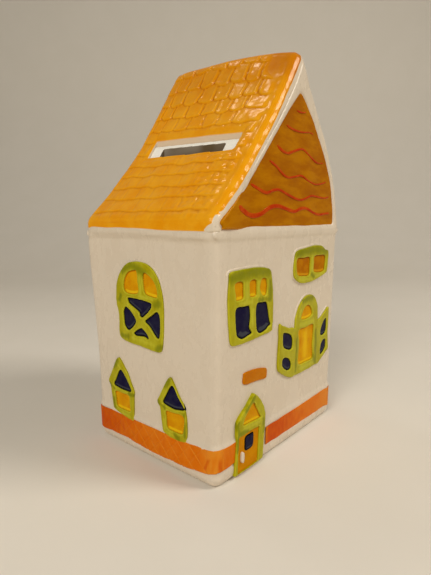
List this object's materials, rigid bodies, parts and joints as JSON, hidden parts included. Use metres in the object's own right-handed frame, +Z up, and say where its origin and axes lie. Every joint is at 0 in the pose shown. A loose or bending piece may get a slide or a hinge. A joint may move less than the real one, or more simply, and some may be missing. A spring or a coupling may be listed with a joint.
{
  "type": "money box",
  "caption": "Glazed ceramic money box in the shape of a crooked gabled house, with a coin slot in the tiled roof and a soft stopper in the base.",
  "frame": {"origin": "middle of the foot, on the surface the house stands on", "axes": "+Z up; the gable wall with the door faces -Y; the eave wall with the arched window faces -X"},
  "size_m": [0.0994, 0.0801, 0.1803],
  "materials": {
    "white_glaze": "gloss",
    "amber_glaze": "gloss",
    "gable_amber": "gloss",
    "pane_amber": "gloss",
    "green_glaze": "gloss",
    "navy_glaze": "gloss",
    "orange_glaze": "gloss",
    "bare_clay": "matt",
    "stopper_rubber": "satin"
  },
  "bodies": {
    "house": {"wall_shell": "white_glaze", "front_gable": "white_glaze", "rear_gable": "white_glaze", "slot_surround": "white_glaze", "door_handle": "white_glaze", "roof_shell": "amber_glaze", "left_tile_courses": "amber_glaze", "right_tile_courses": "amber_glaze", "front_gable_panel": "gable_amber", "rear_gable_panel": "gable_amber", "arched_window_fanlights": "pane_amber", "left_pointed_light": "pane_amber", "right_pointed_light": "pane_amber", "casement_lights": "pane_amber", "twin_window_lights": "pane_amber", "shuttered_window_lights": "pane_amber", "door_fanlight": "pane_amber", "door_leaf": "pane_amber", "rear_window_lights": "pane_amber", "right_window_lights": "pane_amber", "arched_window_frame": "green_glaze", "left_pointed_frame": "green_glaze", "right_pointed_frame": "green_glaze", "casement_frame": "green_glaze", "twin_window_frame": "green_glaze", "shuttered_window_frame": "green_glaze", "left_shutter": "green_glaze", "right_shutter": "green_glaze", "door_frame": "green_glaze", "rear_window_frames": "green_glaze", "right_window_frames": "green_glaze", "arched_window_panes": "navy_glaze", "left_pointed_pane": "navy_glaze", "right_pointed_pane": "navy_glaze", "casement_panes": "navy_glaze", "left_shutter_panes": "navy_glaze", "right_shutter_panes": "navy_glaze", "door_window": "navy_glaze", "rear_window_panes": "navy_glaze", "right_window_panes": "navy_glaze", "plinth_band": "orange_glaze", "plaque": "orange_glaze", "base_plate": "bare_clay"},
    "plug": {"stopper": "stopper_rubber"}
  },
  "joints": [
    {"name": "stopper_pull", "type": "slide", "parent": "house", "child": "plug", "axis": [0, 0, -1], "range_m": [0, 0.03]}
  ]
}
